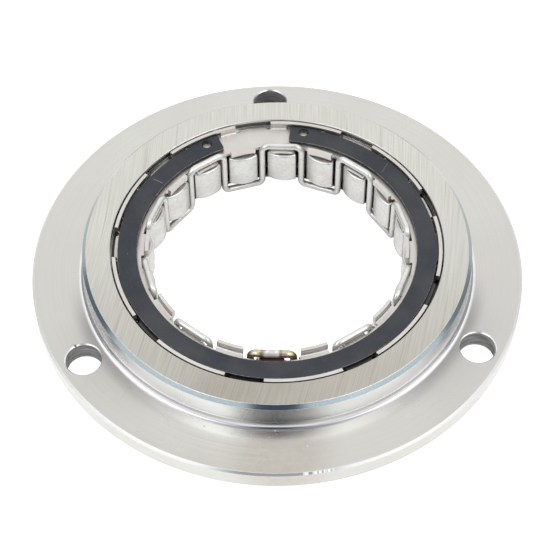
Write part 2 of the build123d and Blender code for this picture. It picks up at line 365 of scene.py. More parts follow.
def edge_steps(edge):
    """Inset, drop and wear of the rings over a rounded edge, with a support ring on either side."""
    support = edge + EDGE_SUPPORT * MM
    turns = [radians(22.5 * quarter) for quarter in range(5)]
    rounded = [(edge * (1 - sin(a)), edge * (1 - cos(a)), 1.0) for a in turns]
    return [(support, 0.0, 0.0)] + rounded + [(0.0, support, 0.0)]


def make_plate(name, node, edge, chamfered=False):
    """A plate with the CAD node's outline and softly rounded upper and lower edges.

    The flat face of a chamfered node lies inside its outline by the edge's size, so it grows first.
    The "edge" attribute is 1 on the worn outer edges and -1 in the small holes.
    """
    loops, bottom, top = outline_loops(node)
    if chamfered:
        loops = [inset_loop(loop, -edge) for loop in loops]
    longest = max(len(loop) for loop in loops)
    bm = bmesh.new()
    worn = bm.verts.layers.float.new("edge")
    upper, lower = [], []
    for loop in loops:
        rings = []
        for level, sign in ((top, -1), (bottom, 1)):
            part = []
            for inset, drop, share in edge_steps(edge):
                points = inset_loop(loop, inset) if inset > 0.0 else loop
                part.append([bm.verts.new((p.x, p.y, level + sign * drop)) for p in points])
                for vert in part[-1]:
                    vert[worn] = share if len(loop) == longest else -share
            rings += part if sign < 0 else part[::-1]
        for first, second in zip(rings, rings[1:]):
            join_rings(bm, first, second)
        upper.append(rings[0])
        lower.append(rings[-1])
    fill_plate(bm, upper)
    fill_plate(bm, lower)
    bmesh.ops.recalc_face_normals(bm, faces=bm.faces)
    return mesh_object(name, bm)


# Pressed cage
def make_cage():
    """The pressed cage: a copy of the CAD sheet, smooth over its bends and sharp at its sheared edges."""
    bm = merged_copy("sprag_cage")
    bmesh.ops.dissolve_limit(bm, angle_limit=radians(0.2), verts=bm.verts, edges=bm.edges)
    return mesh_object("pressed_cage", bm, smooth_angle=25.0)


# Node trees
class Builder:
    """Adds nodes to one tree, sets their plain inputs and links those that come from other nodes."""

    def __init__(self, tree):
        self.tree = tree

    def feed(self, value, socket):
        """Links a value that another node gives, or sets it where it is a plain one."""
        if isinstance(value, bpy.types.NodeSocket):
            self.tree.links.new(value, socket)
        else:
            socket.default_value = value

    def node(self, kind, settings=None, **inputs):
        """A new node. Its inputs go by name, with _ for a space, or by number, as in i0."""
        made = self.tree.nodes.new(kind)
        for key, value in (settings or {}).items():
            setattr(made, key, value)
        for key, value in inputs.items():
            numbered = key[0] == "i" and key[1:].isdigit()
            self.feed(value, made.inputs[int(key[1:]) if numbered else key.replace("_", " ")])
        return made

    def math(self, operation, first, second=0.0, third=0.0):
        """The result of one sum, by Blender's own name for it."""
        return self.node("ShaderNodeMath", {"operation": operation}, i0=first, i1=second, i2=third).outputs[0]

    def product(self, first, *others):
        """All the values multiplied."""
        for other in others:
            first = self.math("MULTIPLY", first, other)
        return first

    def ramp(self, value, low, high, start=0.0, end=1.0):
        """A smooth step from start to end while the value goes from low to high."""
        return self.node("ShaderNodeMapRange", {"interpolation_type": "SMOOTHSTEP"}, Value=value,
                         From_Min=low, From_Max=high, To_Min=start, To_Max=end).outputs["Result"]

    def blend(self, factor, first, second, mode="MIX"):
        """The first colour, changed towards the second by the factor."""
        return self.node("ShaderNodeMix", {"data_type": "RGBA", "blend_type": mode},
                         i0=factor, i6=first, i7=second).outputs[2]

    def reach(self, x, y):
        """The distance from the axis."""
        square = self.math("ADD", self.math("POWER", x, 2.0), self.math("POWER", y, 2.0))
        return self.math("SQRT", square)


def group_tree(kind, name, inputs, outputs):
    """A node group with named inputs and outputs: its tree, its builder, and what it is given and gives."""
    tree = bpy.data.node_groups.new(name, kind)
    for label, sort, value in inputs:
        socket = tree.interface.new_socket(label, in_out="INPUT", socket_type=f"NodeSocket{sort}")
        if value is not None:
            socket.default_value = value
    for label, sort in outputs:
        tree.interface.new_socket(label, in_out="OUTPUT", socket_type=f"NodeSocket{sort}")
    build = Builder(tree)
    return tree, build, build.node("NodeGroupInput").outputs, build.node("NodeGroupOutput").inputs


# Zig-zag spring
def wire_period():
    """The middle line of one period of the wire, over one sprag and under the next."""
    def at(angle, shift, z):
        """A place at an angle and height on the wire's circle, shifted sideways from it."""
        a = radians(angle)
        return Vector((WIRE_CIRCLE_R * cos(a) - shift * sin(a), WIRE_CIRCLE_R * sin(a) + shift * cos(a), z))

    def bend(angle, side, level, inwards):
        """The quarter turn between an upright run and a level run, in the order of travel."""
        sign = 1 if level == WIRE_TOP_Z else -1
        turn = []
        for step in range(CORNER_STEPS + 1):
            a = radians(90 * step / CORNER_STEPS)
            shift = side * WIRE_CORNER_R * (1 - cos(a))
            rise = level - sign * WIRE_CORNER_R * (1 - sin(a))
            turn.append(at(angle, shift, rise))
        return turn[::-1] if inwards else turn

    first, second, third = -SPRAG_PITCH / 2, SPRAG_PITCH / 2, SPRAG_PITCH * 1.5
    middle = (WIRE_TOP_Z + WIRE_BOTTOM_Z) / 2
    points = [at(first, 0, middle)]
    points += bend(first, 1, WIRE_TOP_Z, False)
    loop_start, loop_end = points[-1], at(second, -WIRE_CORNER_R, WIRE_TOP_Z)
    points += [loop_start.lerp(loop_end, step / TOP_LOOP_STEPS) for step in range(1, TOP_LOOP_STEPS)]
    points += bend(second, -1, WIRE_TOP_Z, True)
    points += bend(second, 1, WIRE_BOTTOM_Z, False)
    points += bend(third, -1, WIRE_BOTTOM_Z, True)
    points.append(at(third, 0, middle))
    return points


def wire_tree(material):
    """The nodes that set one period of the wire round the axis, join its ends and sweep it round."""
    tree, build, given, result = group_tree(
        "GeometryNodeTree", "Zig-zag wire",
        [("Geometry", "Geometry", None),
         ("Wire radius", "Float", WIRE_R * MM),
         ("Periods", "Int", SPRAG_COUNT // 2),
         ("First angle", "Float", radians(SPRAG_FIRST_ANGLE)),
         ("Weld", "Vector", WELD_POINT * MM),
         ("Weld push", "Vector", WELD_PUSH * MM),
         ("Material", "Material", material)],
        [("Geometry", "Geometry")])
    copies = build.node("GeometryNodeDuplicateElements", {"domain": "SPLINE"},
                        Geometry=given["Geometry"], Amount=given["Periods"]).outputs
    step = build.math("MULTIPLY", copies["Duplicate Index"], radians(2 * SPRAG_PITCH))
    here = build.node("GeometryNodeInputPosition").outputs["Position"]
    turned = build.node("ShaderNodeVectorRotate", {"rotation_type": "Z_AXIS"}, Vector=here,
                        Angle=build.math("ADD", step, given["First angle"])).outputs["Vector"]
    periods = build.node("GeometryNodeSetPosition", Geometry=copies["Geometry"],
                         Position=turned).outputs["Geometry"]

    # The loop with the weld was heated: it is upset thicker and pressed a little down and inwards
    away = build.node("ShaderNodeVectorMath", {"operation": "DISTANCE"}, i0=here,
                      i1=given["Weld"]).outputs["Value"]
    share = build.ramp(away, WELD_FULL * MM, WELD_END * MM, 1.0, 0.0)
    thickness = build.ramp(away, WELD_FULL * MM, WELD_END * MM, WELD_THICKER, 1.0)
    push = build.node("ShaderNodeVectorMath", {"operation": "SCALE"}, i0=given["Weld push"],
                      Scale=share).outputs["Vector"]
    pressed = build.node("GeometryNodeSetPosition", Geometry=periods, Offset=push).outputs["Geometry"]

    # The periods' ends are merged into one closed line before the round wire is swept along it
    line = build.node("GeometryNodeCurveToMesh", Curve=pressed).outputs["Mesh"]
    joined = build.node("GeometryNodeMergeByDistance", Geometry=line, Distance=0.01 * MM).outputs["Geometry"]
    closed = build.node("GeometryNodeMeshToCurve", Mesh=joined).outputs["Curve"]
    circle = build.node("GeometryNodeCurvePrimitiveCircle", Resolution=20, Radius=given["Wire radius"])
    wire = build.node("GeometryNodeCurveToMesh", Curve=closed, Profile_Curve=circle.outputs["Curve"],
                      Scale=thickness).outputs["Mesh"]
    smooth = build.node("GeometryNodeSetShadeSmooth", Geometry=wire).outputs["Geometry"]
    real = build.node("GeometryNodeRealizeInstances", Geometry=smooth).outputs["Geometry"]
    painted = build.node("GeometryNodeSetMaterial", Geometry=real, Material=given["Material"])
    build.feed(painted.outputs["Geometry"], result["Geometry"])
    return tree


def make_spring(material):
    """The spring as a plain mesh, from the middle line of one period and the wire's nodes."""
    data = bpy.data.curves.new("wire period", "CURVE")
    data.dimensions = "3D"
    spline = data.splines.new("POLY")
    points = wire_period()
    spline.points.add(len(points) - 1)
    for point, place in zip(spline.points, points):
        point.co = (*(place * MM), 1.0)
    holder = bpy.data.objects.new("wire period", data)
    scene.collection.objects.link(holder)
    modifier = holder.modifiers.new("zig-zag wire", "NODES")
    modifier.node_group = wire_tree(material)

    bpy.context.view_layer.update()
    graph = bpy.context.evaluated_depsgraph_get()
    mesh = bpy.data.meshes.new_from_object(holder.evaluated_get(graph), depsgraph=graph)
    mesh.name = "zigzag_spring"
    holder.modifiers.remove(modifier)
    bpy.data.objects.remove(holder)
    made = bpy.data.objects.new("zigzag_spring", mesh)
    scene.collection.objects.link(made)
    return made


# Shared effects
def turning_lines():
    """Fine concentric tool lines round the axis, on faces and walls alike."""
    tree, build, given, result = group_tree(
        "ShaderNodeTree", "turning lines", [("Vector", "Vector", None), ("Lines per metre", "Float", 3000.0)],
        [("Height", "Float"), ("Shade", "Float")])
    place = build.node("ShaderNodeSeparateXYZ", Vector=given["Vector"]).outputs
    climb = build.math("MULTIPLY", place["Z"], 0.73)
    along = build.math("ADD", build.reach(place["X"], place["Y"]), climb)
    run = build.math("MULTIPLY", along, given["Lines per metre"])
    fine = build.node("ShaderNodeTexNoise", {"noise_dimensions": "1D"}, W=run, Scale=1.0, Detail=2.0)
    broad = build.node("ShaderNodeTexNoise", {"noise_dimensions": "1D"}, W=run, Scale=0.17, Detail=1.0)
    both = build.math("ADD", fine.outputs[0], build.math("MULTIPLY", broad.outputs[0], 0.35))
    build.feed(both, result["Height"])
    build.feed(build.ramp(both, 0.4, 0.95), result["Shade"])
    return tree


def grinding_lines():
    """Long shallow grinding arcs that run along Y at the back and lean at the front, some deeper."""
    tree, build, given, result = group_tree(
        "ShaderNodeTree", "grinding lines",
        [("Vector", "Vector", None), ("Lines per metre", "Float", 2400.0)],
        [("Height", "Float"), ("Shade", "Float"), ("Scratches", "Float")])
    place = build.node("ShaderNodeSeparateXYZ", Vector=given["Vector"]).outputs
    forward = build.math("POWER", build.math("SUBTRACT", 0.05, place["Y"]), 2.0)
    across = build.math("ADD", place["X"], build.math("MULTIPLY", forward, 1.7))
    column = build.math("MULTIPLY", across, given["Lines per metre"])
    along = build.math("MULTIPLY", place["Y"], 55.0)
    point = build.node("ShaderNodeCombineXYZ", X=column, Y=along, Z=0.0).outputs[0]
    fine = build.node("ShaderNodeTexNoise", {"noise_dimensions": "2D"}, Vector=point, Scale=1.0, Detail=3.0)
    deep = build.node("ShaderNodeTexNoise", {"noise_dimensions": "2D"}, Vector=point, Scale=0.45, Detail=1.0)
    build.feed(fine.outputs[0], result["Height"])
    build.feed(build.ramp(fine.outputs[0], 0.3, 0.7), result["Shade"])
    build.feed(build.ramp(deep.outputs[0], 0.66, 0.74), result["Scratches"])
    return tree


def small_specks():
    """Scattered small specks: only some cells of the pattern hold one."""
    tree, build, given, result = group_tree(
        "ShaderNodeTree", "small specks",
        [("Vector", "Vector", None), ("Cells per metre", "Float", 200.0),
         ("Speck size", "Float", 0.12), ("Share", "Float", 0.2)],
        [("Mask", "Float")])
    cells = build.node("ShaderNodeTexVoronoi", Vector=given["Vector"], Scale=given["Cells per metre"])
    chance = build.node("ShaderNodeSeparateColor", Color=cells.outputs["Color"]).outputs[0]
    chosen = build.math("LESS_THAN", chance, given["Share"])
    inside = build.math("LESS_THAN", cells.outputs["Distance"], given["Speck size"])
    build.feed(build.product(chosen, inside), result["Mask"])
    return tree


def soft_clouds():
    """Wide, soft variation of a surface, as handling and drying leave it."""
    tree, build, given, result = group_tree(
        "ShaderNodeTree", "soft clouds", [("Vector", "Vector", None), ("Clouds per metre", "Float", 60.0)],
        [("Value", "Float")])
    wide = build.node("ShaderNodeTexNoise", Vector=given["Vector"], Scale=given["Clouds per metre"],
                      Detail=4.0)
    build.feed(build.ramp(wide.outputs[0], 0.3, 0.7), result["Value"])
    return tree


TURNING, GRINDING, SPECKS, CLOUDS = turning_lines(), grinding_lines(), small_specks(), soft_clouds()


class Finish(Builder):
    """One metal's material: its shader, where the surface lies in millimetres, and its own effects."""

    def __init__(self, name):
        self.material = bpy.data.materials.new(name)
        self.material.use_nodes = True
        super().__init__(self.material.node_tree)
        self.shader = self.tree.nodes["Principled BSDF"]
        self.place = self.node("ShaderNodeTexCoord").outputs["Object"]
        axes = self.node("ShaderNodeSeparateXYZ", Vector=self.place).outputs
        self.x, self.y, self.z = (self.math("DIVIDE", axes[name], MM) for name in "XYZ")
        self.radius = self.reach(self.x, self.y)
        # The turn round the axis from the front, in radians, and how far that is to either side
        self.turn = self.math("ARCTAN2", self.x, self.math("MULTIPLY", self.y, -1.0))
        self.aside = self.math("ABSOLUTE", self.turn)

    def effect(self, tree, **values):
        """Places a shared group on this surface with its own values."""
        made = self.node("ShaderNodeGroup", {"node_tree": tree})
        self.feed(self.place, made.inputs["Vector"])
        for key, value in values.items():
            made.inputs[key.replace("_", " ")].default_value = value
        return made.outputs

    def clouds(self, per_metre):
        """Soft clouds of so many to the metre, from 0 to 1."""
        return self.effect(CLOUDS, Clouds_per_metre=per_metre)["Value"]

    def specks(self, per_metre, size, share):
        """A mask of specks: cells to the metre, a speck's size in its cell, and how many cells hold one."""
        return self.effect(SPECKS, Cells_per_metre=per_metre, Speck_size=size, Share=share)["Mask"]

    def noise(self, per_metre, detail=3.0):
        """Fine noise of the surface, as grain or streaks."""
        return self.node("ShaderNodeTexNoise", Vector=self.place, Scale=per_metre, Detail=detail).outputs[0]

    def away(self, x, y, z):
        """The distance from a place in millimetres."""
        metres = self.node("ShaderNodeVectorMath", {"operation": "DISTANCE"}, i0=self.place,
                           i1=(x * MM, y * MM, z * MM)).outputs["Value"]
        return self.math("DIVIDE", metres, MM)

    def worn_edge(self):
        """The rounded edges of the piece, from its own attribute."""
        return self.node("ShaderNodeAttribute", {"attribute_name": "edge"}).outputs["Fac"]

    def rise(self, value, low, high):
        """0 below the first level and 1 above the second."""
        return self.ramp(value, low, high)

    def fall(self, value, low, high):
        """1 below the first level and 0 above the second."""
        return self.ramp(value, low, high, 1.0, 0.0)

    def band(self, value, low, high, soft):
        """1 between two levels, with soft shoulders outside them."""
        return self.product(self.rise(value, low - soft, low), self.fall(value, high, high + soft))

    def over(self, color, mask, other, share=1.0):
        """The colour with another laid over it where the mask lies, as strongly as the share says."""
        return self.blend(mask if share == 1.0 else self.product(mask, share), color, other)

    def finish(self, color, roughness, height, strength, depth, metallic=1.0):
        """Gives the shader its colour, roughness and bump, the bump's depth in millimetres."""
        bump = self.node("ShaderNodeBump", Height=height, Strength=strength, Distance=depth * MM)
        for label, value in (("Base Color", color), ("Roughness", roughness), ("Metallic", metallic),
                             ("Normal", bump.outputs["Normal"])):
            self.feed(value, self.shader.inputs[label])
        return self.material


# Finish of the race
STAIN = (-1.0, -51.5, FLANGE_TOP_Z)
NICK = (-46.14, -21.79, FLANGE_TOP_Z)
DUST_SPOTS = ((-3.34, -47.47, 7.6), (-2.04, -45.86, 7.6), (4.82, -49.90, 7.6))
DUST_SPOT_R = 0.19
# Near black: oil in the hollows, and painted shade in the recesses where it is laid
OIL_AND_SHADE = (0.05, 0.048, 0.045, 1)
# Colour of the painted shade at the front of the boss's wall
FRONT_SHADE_COLOR = (0.20, 0.205, 0.22, 1)
REGION_SOFT = 0.02


def race_regions(surface):
    """Masks of the race's faces, by their height and their distance from the axis."""
    z, radius, rise, fall, band = surface.z, surface.radius, surface.rise, surface.fall, surface.band
    chamfer_z = BOSS_TOP_Z - BOSS_CHAMFER
    beside_boss = surface.product(rise(radius, BOSS_R - 0.05, BOSS_R - 0.01), fall(radius, 45.6, 46.3))
    near_holes = band(radius, SCREW_CIRCLE_R - 5.0, SCREW_CIRCLE_R + 5.0, 0.4)
    mouth = surface.product(band(radius, SCREW_CIRCLE_R - 4.6, SCREW_CIRCLE_R + 4.6, 0.2),
                            rise(z, FLANGE_TOP_Z - 0.4, FLANGE_TOP_Z - 0.3))
    groove = surface.product(band(z, GROOVE_FLOOR_Z + 0.02, GROOVE_ROOF_Z - 0.02, REGION_SOFT),
                             fall(radius, GROOVE_R + 0.10, GROOVE_R + 0.12))
    below_groove = surface.product(fall(radius, COUNTERBORE_R + 0.04, COUNTERBORE_R + 0.08),
                                   fall(z, GROOVE_FLOOR_Z - 0.24, GROOVE_FLOOR_Z - 0.04))
    return SimpleNamespace(
        face=rise(z, BOSS_TOP_Z - 0.04, BOSS_TOP_Z - 0.02),
        chamfer=surface.product(band(z, chamfer_z + 0.01, BOSS_TOP_Z - 0.03, 0.03), rise(radius, 43.0, 43.6)),
        wall=surface.product(beside_boss, band(z, ROOT_TOP_Z, chamfer_z - 0.01, REGION_SOFT)),
        root=surface.product(beside_boss, band(z, FLANGE_TOP_Z - 0.1, ROOT_TOP_Z - 0.02, REGION_SOFT)),
        hole_side=surface.product(band(z, FLANGE_BACK_Z + 0.3, FLANGE_TOP_Z - 0.3, 0.1), near_holes),
        mouth=mouth,
        mouth_chamfer=surface.product(mouth, fall(z, FLANGE_TOP_Z - 0.03, FLANGE_TOP_Z - 0.01)),
        bore=surface.product(fall(radius, COUNTERBORE_R - 0.4, COUNTERBORE_R - 0.3),
                             fall(z, COUNTERBORE_Z - 0.3, COUNTERBORE_Z - 0.1)),
        recess=surface.math("MAXIMUM", below_groove, groove),
        lip_painted_light=surface.product(fall(radius, COUNTERBORE_R + 0.14, COUNTERBORE_R + 0.20),
                                 rise(z, GROOVE_ROOF_Z, GROOVE_ROOF_Z + 0.05), rise(surface.y, 14.0, 30.0)),
        rim_edge=surface.product(rise(radius, FLANGE_R - 0.51, FLANGE_R - 0.48),
                                 band(z, FLANGE_TOP_Z - 0.48, FLANGE_TOP_Z + 0.02, REGION_SOFT)))


def turned_faces(surface, lines, clouds):
    """Pale turned steel, faintly pink in places, stained at the front, with painted shade on two side
    quarters of the flange and beside the boss's root.
    """
    color = surface.blend(lines["Shade"], (0.573, 0.576, 0.544, 1), (0.612, 0.615, 0.585, 1))
    color = surface.over(color, clouds, (0.57, 0.56, 0.525, 1), 0.3)
    color = surface.over(color, surface.clouds(27.0), (0.565, 0.545, 0.53, 1), 0.4)
    mottled = surface.rise(surface.noise(700.0), 0.35, 0.65)
    stain = surface.blend(mottled, (0.82, 0.79, 0.75, 1), (0.86, 0.82, 0.81, 1))
    color = surface.blend(surface.fall(surface.away(*STAIN), 4.0, 15.0), color, stain, "MULTIPLY")
    # Painted shade: the flange darker on its two side quarters, towards the rim
    quarter_shade = surface.product(surface.ramp(surface.radius, 48.0, 56.0, 1.0, 0.2),
                             surface.band(surface.aside, 0.80, 1.10, 0.25))
    color = surface.over(color, quarter_shade, (0.47, 0.455, 0.44, 1), 0.45)
    # Painted shade: a dark reflection of the boss's wall on the flange beside its root, at the sides
    root_shade = surface.product(surface.fall(surface.radius, 46.4, 50.0),
                                surface.band(surface.aside, 0.60, 1.15, 0.35))
    return surface.over(color, root_shade, (0.30, 0.29, 0.285, 1), 0.75)


def ground_face(surface, ground):
    """The boss face: fine grinding lines with some deeper ones, and painted shade that makes it darker
    towards the front.
    """
    color = surface.blend(ground["Shade"], (0.548, 0.547, 0.507, 1), (0.627, 0.628, 0.588, 1))
    color = surface.over(color, ground["Scratches"], (0.42, 0.41, 0.38, 1), 0.5)
    # Painted shade: the boss face darker towards the front
    front = surface.fall(surface.y, -48.0, 4.0)
    return surface.blend(front, color, (0.785, 0.758, 0.732, 1), "MULTIPLY")


def chamfer_reflection(surface, streaks):
    """The boss's chamfer: a painted reflection, blue streaks at the front and grey at the back."""
    blue = surface.blend(surface.rise(streaks, 0.35, 0.65), (0.42, 0.52, 0.58, 1), (0.50, 0.575, 0.60, 1))
    return surface.blend(surface.rise(surface.y, -10.0, 20.0), blue, (0.50, 0.50, 0.485, 1))


def boss_side_painted_light(surface, on, color):
    """The boss's wall and root in painted light: brighter reflections at the sides, painted shade at the
    front, a painted highlight along the root and a dark band at its foot.
    """
    # Painted reflection: the boss's wall brighter at the sides
    sides = surface.rise(surface.aside, 0.3, 0.8)
    wall = surface.blend(sides, (0.65, 0.655, 0.655, 1), (0.78, 0.785, 0.79, 1))
    color = surface.over(color, on.wall, wall)
    # Painted shade: the lower wall dark at the very front
    front_shade = surface.product(surface.ramp(surface.z, 9.4, 12.0, 0.5, 0.0),
                             surface.fall(surface.aside, 0.04, 0.26))
    color = surface.over(color, surface.product(on.wall, front_shade), FRONT_SHADE_COLOR)
    # Painted highlight on the root near the boss, darker further out and brighter at the sides
    outwards = surface.rise(surface.radius, BOSS_R + 0.3, BOSS_R + 0.8)
    root = surface.blend(outwards, (0.80, 0.80, 0.805, 1), (0.47, 0.47, 0.49, 1))
    root = surface.blend(sides, root, (0.92, 0.92, 0.93, 1))
    color = surface.over(color, on.root, root)
    # Painted shade: the root's foot dark at the front
    foot = surface.product(surface.rise(surface.radius, BOSS_R + 0.5, BOSS_R + 0.8),
                           surface.fall(surface.aside, 0.08, 0.50))
    return surface.over(color, surface.product(on.root, foot), (0.20, 0.20, 0.225, 1))


def drilled_steel(surface):
    """The screw holes' walls: rings left by the drill, with painted shade making the back hole darker."""
    stretched = surface.node("ShaderNodeVectorMath", {"operation": "MULTIPLY"}, i0=surface.place,
                             i1=(260.0, 260.0, 3200.0)).outputs[0]
    rings = surface.node("ShaderNodeTexNoise", Vector=stretched, Scale=1.0, Detail=3.0).outputs[0]
    lines = surface.rise(rings, 0.35, 0.65)
    clean = surface.blend(lines, (0.36, 0.36, 0.37, 1), (0.74, 0.74, 0.74, 1))
    dull = surface.blend(lines, (0.19, 0.19, 0.20, 1), (0.40, 0.40, 0.41, 1))
    # Painted shade: the hole at the back darker than those at the front
    return surface.blend(surface.rise(surface.y, -20.0, 20.0), clean, dull)


def oil_and_shade_inside(surface, on, color):
    """Dark oil and painted shade in the bore, in the groove and below it, the groove darker at the front, and
    painted light on the lip over the groove at the back.
    """
    # Painted shade: the groove and the face below it darker at the front than at the back
    recess = surface.product(on.recess, surface.ramp(surface.y, 20.0, 34.0, 1.0, 0.1))
    color = surface.over(color, surface.math("MAXIMUM", on.bore, recess), OIL_AND_SHADE, 0.95)
    # Painted light: the lip over the groove paler at the back
    return surface.over(color, on.lip_painted_light, (0.86, 0.85, 0.82, 1), 0.9)


def rim_reflection_and_knocks(surface):
    """The flange's upper edge: a painted reflection, dark at the very front and bright round the sides, and
    knocked in one place.
    """
    # Painted reflection: the rim's edge dark at the very front and bright round the sides
    bright = surface.rise(surface.math("ABSOLUTE", surface.math("ADD", surface.turn, 0.04)), 0.12, 0.30)
    color = surface.blend(bright, (0.38, 0.38, 0.385, 1), (0.82, 0.82, 0.81, 1))
    knocks = surface.node("ShaderNodeTexNoise", {"noise_dimensions": "1D"}, Scale=1.0, Detail=1.0,
                          W=surface.product(surface.turn, 60.0)).outputs[0]
    knocked = surface.product(surface.rise(knocks, 0.46, 0.52), surface.band(surface.turn, 0.07, 0.17, 0.02))
    return surface.over(color, knocked, (0.93, 0.93, 0.92, 1))


def race_wear(surface, on, streaks, color):
    """Rubbed edges, one nick, rust specks and dust."""
    rubbed = surface.product(surface.worn_edge(), surface.math("SUBTRACT", 1.0, on.mouth),
                             surface.ramp(streaks, 0.3, 0.6, 0.3, 0.7))
    color = surface.over(color, rubbed, (0.78, 0.78, 0.76, 1))
    nick = surface.ramp(surface.away(*NICK), 0.25, 0.40, 0.9, 0.0)
    color = surface.over(color, nick, (0.04, 0.04, 0.04, 1))
    dust = surface.specks(120.0, 0.022, 0.06)
    for spot in DUST_SPOTS:
        dust = surface.math("MAXIMUM", dust, surface.math("LESS_THAN", surface.away(*spot), DUST_SPOT_R))
    color = surface.over(color, surface.specks(170.0, 0.035, 0.10), (0.36, 0.27, 0.17, 1), 0.6)
    return surface.over(color, dust, (0.85, 0.85, 0.83, 1), 0.7)


def race_roughness(surface, on, clouds):
    """Smooth on the chamfer and the upper root, rougher at the foot, the rim's edge and in the holes."""
    upper_root = surface.product(on.root, surface.fall(surface.radius, BOSS_R + 0.6, BOSS_R + 1.0))
    foot = surface.product(on.root, surface.rise(surface.radius, BOSS_R + 0.6, BOSS_R + 0.9))
    roughness = surface.math("ADD", 0.24, surface.product(clouds, 0.08))
    polished = surface.product(surface.math("MAXIMUM", on.chamfer, upper_root), 0.12)
    roughness = surface.math("SUBTRACT", roughness, polished)
    for mask in (surface.math("MAXIMUM", on.rim_edge, foot), on.hole_side):
        roughness = surface.math("ADD", roughness, surface.product(mask, 0.25))
    return roughness


def turned_steel():
    """The race: turned all over, ground straight across the boss face, with a painted blue reflection on its
    chamfer and more painted light and shade round the boss, rim and holes.
    """
    surface = Finish("turned steel")
    on = race_regions(surface)
    lines = surface.effect(TURNING, Lines_per_metre=3200.0)
    ground = surface.effect(GRINDING, Lines_per_metre=3300.0)
    clouds = surface.clouds(45.0)
    streaks = surface.noise(2600.0)
    color = turned_faces(surface, lines, clouds)
    color = surface.over(color, on.face, ground_face(surface, ground))
    color = surface.over(color, on.chamfer, chamfer_reflection(surface, streaks))
    color = boss_side_painted_light(surface, on, color)
    color = surface.over(color, on.hole_side, drilled_steel(surface))
    color = oil_and_shade_inside(surface, on, color)
    color = surface.over(color, on.rim_edge, rim_reflection_and_knocks(surface))
    # Painted highlight: the screw holes' mouth chamfers bright at the front and grey at the back
    bright = surface.blend(surface.rise(surface.y, 0.0, 30.0), (0.97, 0.97, 0.96, 1), (0.55, 0.55, 0.55, 1))
    color = surface.over(color, on.mouth_chamfer, bright)
    color = race_wear(surface, on, streaks, color)
    pale = surface.math("MAXIMUM", on.hole_side, on.lip_painted_light)
    return surface.finish(
        color, race_roughness(surface, on, clouds), surface.blend(on.face, lines["Height"], ground["Height"]),
        strength=0.35, depth=0.012, metallic=surface.ramp(pale, 0.0, 1.0, 1.0, 0.35))


# Finishes of the other pieces
SCORCH = (-2.2, -31.2, 13.1)
# Place, lean in degrees, half length and half width of the snap ring's scratches
RING_SCRATCHES = ((26.55, 22.75, 62.0, 2.4, 0.07), (-27.5, 20.5, -31.0, 1.6, 0.16))


def pressed_sheet():
    """The cage: bare sheet with a satin skin, faintly warm, brown where the spring above was welded, with oil
    and painted shade low on its wall and painted shade in its notches at the front.
    """
    surface = Finish("pressed sheet")
    clouds = surface.clouds(160.0)
    grain = surface.noise(2600.0)
    color = surface.blend(clouds, (0.61, 0.58, 0.545, 1), (0.67, 0.65, 0.62, 1))
    color = surface.over(color, surface.rise(grain, 0.35, 0.75), (0.5, 0.48, 0.46, 1), 0.25)
    scorched = surface.product(surface.ramp(surface.away(*SCORCH), 2.4, 4.4, 0.92, 0.0),
                               surface.ramp(surface.radius, 31.6, 32.0, 1.0, 0.45))
    burnt = surface.blend(surface.rise(grain, 0.4, 0.6), (0.21, 0.13, 0.10, 1), (0.17, 0.145, 0.155, 1))
    color = surface.over(color, scorched, burnt)
    # Painted shade: the cage's flange dark in the notches between the lips, at the front
    notch_shade = surface.product(surface.rise(surface.radius, 36.4, 36.7),
                              surface.ramp(surface.y, -12.0, 2.0, 0.93, 0.0),
                              surface.fall(surface.z, 13.1, 13.4))
    # Oil and painted shade: the cage dark below its flange
    oil_and_shade = surface.math("MAXIMUM", surface.ramp(surface.z, 11.7, 12.2, 0.85, 0.0), notch_shade)
    color = surface.over(color, oil_and_shade, OIL_AND_SHADE)
    roughness = surface.math("ADD", 0.36, surface.product(clouds, 0.14))
    return surface.finish(color, roughness, grain, strength=0.25, depth=0.01)


def scratch(surface, x, y, lean, half_length, half_width):
    """One straight scratch on a level face, soft at its ends and sides."""
    way_x, way_y = cos(radians(lean)), sin(radians(lean))
    east, north = surface.math("SUBTRACT", surface.x, x), surface.math("SUBTRACT", surface.y, y)
    along = surface.math("ADD", surface.product(east, way_x), surface.product(north, way_y))
    beside = surface.math("SUBTRACT", surface.product(north, way_x), surface.product(east, way_y))
    return surface.product(
        surface.fall(surface.math("ABSOLUTE", along), 0.6 * half_length, half_length),
        surface.fall(surface.math("ABSOLUTE", beside), 0.4 * half_width, half_width))


def blackened_steel():
    """The snap ring: black oxide, rubbed brown and bright along its edges, with two light scratches and
    painted shade in its small holes.
    """
    surface = Finish("blackened steel")
    grain = surface.noise(1900.0, 5.0)
    color = surface.blend(surface.clouds(110.0), (0.052, 0.057, 0.067, 1), (0.074, 0.078, 0.086, 1))
    color = surface.over(color, surface.ramp(grain, 0.55, 0.8, 0.0, 0.5), (0.10, 0.105, 0.115, 1))
    edge = surface.worn_edge()
    # Painted shade: near black in the small holes
    color = surface.over(color, surface.fall(edge, -0.6, -0.1), (0.008, 0.008, 0.01, 1))
    rubbed = surface.product(surface.math("MAXIMUM", edge, 0.0), surface.ramp(grain, 0.38, 0.6, 0.25, 1.0))
    color = surface.over(color, rubbed, (0.30, 0.27, 0.235, 1))
    color = surface.over(color, surface.specks(230.0, 0.04, 0.12), (0.30, 0.31, 0.33, 1), 0.5)
    for place in RING_SCRATCHES:
        color = surface.over(color, scratch(surface, *place), (0.35, 0.35, 0.36, 1), 0.45)
    roughness = surface.math("ADD", 0.36, surface.product(grain, 0.14))
    return surface.finish(color, roughness, grain, strength=0.3, depth=0.01)


